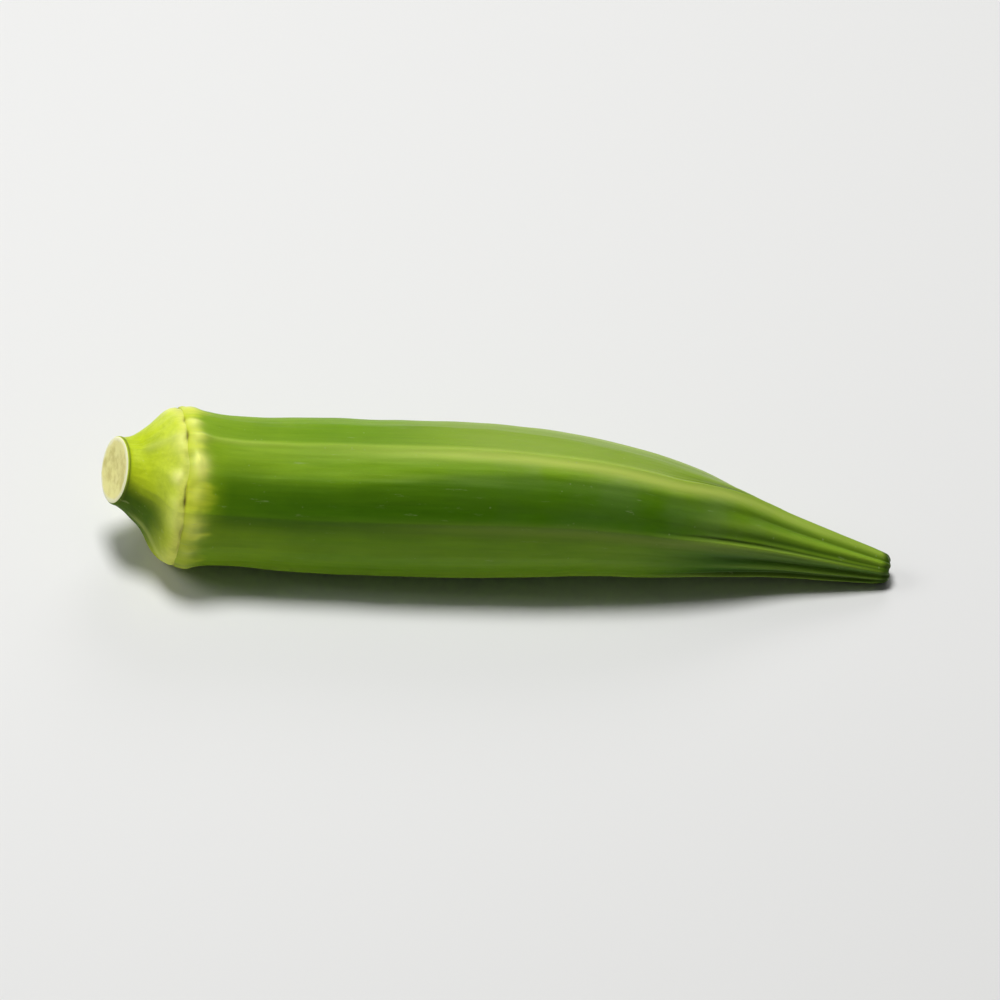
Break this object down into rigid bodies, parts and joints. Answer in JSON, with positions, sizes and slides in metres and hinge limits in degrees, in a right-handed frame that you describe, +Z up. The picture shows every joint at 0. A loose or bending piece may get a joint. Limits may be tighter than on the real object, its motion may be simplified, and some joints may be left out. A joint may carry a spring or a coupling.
{
  "type": "okra pod",
  "caption": "Whole fresh okra pod lying on a surface: cut stem, flared cap, ring scar, long ridged green body and a curved, fluted beak with a blunt end.",
  "frame": {"origin": "on the surface that the pod lies on, under the middle of its box", "axes": "+X from the cut stem to the tip of the beak, +Z up, -Y towards the viewer of the picture"},
  "size_m": [0.1012, 0.02, 0.02],
  "materials": {
    "pod_skin": "satin, faintly fuzzy fresh green skin",
    "stem_flesh": "satin yellow-green skin with a matte cream cut face"
  },
  "bodies": {
    "root": {"pod_capsule": "pod_skin", "stem_cap": "stem_flesh"}
  },
  "joints": []
}
